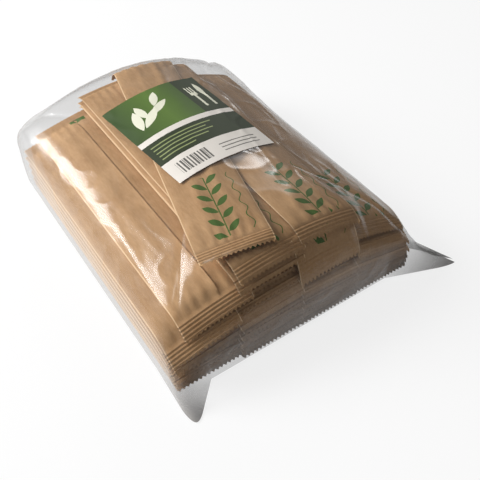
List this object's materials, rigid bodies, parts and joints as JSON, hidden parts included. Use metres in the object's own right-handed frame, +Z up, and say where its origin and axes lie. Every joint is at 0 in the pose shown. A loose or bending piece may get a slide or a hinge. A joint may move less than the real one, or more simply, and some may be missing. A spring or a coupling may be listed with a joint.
{
  "type": "wooden cutlery pack",
  "caption": "Clear film bag, welded flat at the front with two corner ears, holding a crowned pile of sealed kraft paper cutlery sachets under a label.",
  "frame": {"origin": "under the middle of the whole pack, on the face it lies on", "axes": "+X along the front weld, to the right ear; +Y from the weld to the back of the bag; +Z up"},
  "size_m": [0.2526, 0.3124, 0.0903],
  "materials": {
    "clear_film": "clear blown film, glossy, softly creased",
    "printed_label": "coated label paper with green and pale printed fields",
    "kraft_paper": "unbleached kraft paper, matt, with green print"
  },
  "bodies": {
    "root": {"bag": "clear_film", "label": "printed_label", "sachet_01": "kraft_paper", "sachet_02": "kraft_paper", "sachet_03": "kraft_paper", "sachet_04": "kraft_paper", "sachet_05": "kraft_paper", "sachet_06": "kraft_paper", "sachet_07": "kraft_paper", "sachet_08": "kraft_paper", "sachet_09": "kraft_paper", "sachet_10": "kraft_paper", "sachet_11": "kraft_paper", "sachet_12": "kraft_paper", "sachet_13": "kraft_paper", "sachet_14": "kraft_paper", "sachet_15": "kraft_paper", "sachet_16": "kraft_paper", "sachet_17": "kraft_paper", "sachet_18": "kraft_paper", "sachet_19": "kraft_paper", "sachet_20": "kraft_paper", "sachet_21": "kraft_paper", "sachet_22": "kraft_paper", "sachet_23": "kraft_paper", "sachet_24": "kraft_paper", "sachet_25": "kraft_paper", "sachet_26": "kraft_paper", "sachet_27": "kraft_paper", "sachet_28": "kraft_paper", "sachet_29": "kraft_paper", "sachet_30": "kraft_paper", "sachet_31": "kraft_paper", "sachet_32": "kraft_paper", "sachet_33": "kraft_paper", "sachet_34": "kraft_paper", "sachet_35": "kraft_paper", "sachet_36": "kraft_paper", "sachet_37": "kraft_paper", "sachet_38": "kraft_paper", "sachet_39": "kraft_paper", "sachet_40": "kraft_paper", "sachet_41": "kraft_paper", "sachet_42": "kraft_paper", "sachet_43": "kraft_paper", "sachet_44": "kraft_paper", "sachet_45": "kraft_paper", "sachet_46": "kraft_paper", "sachet_47": "kraft_paper", "sachet_48": "kraft_paper", "sachet_49": "kraft_paper", "sachet_50": "kraft_paper"}
  },
  "joints": []
}
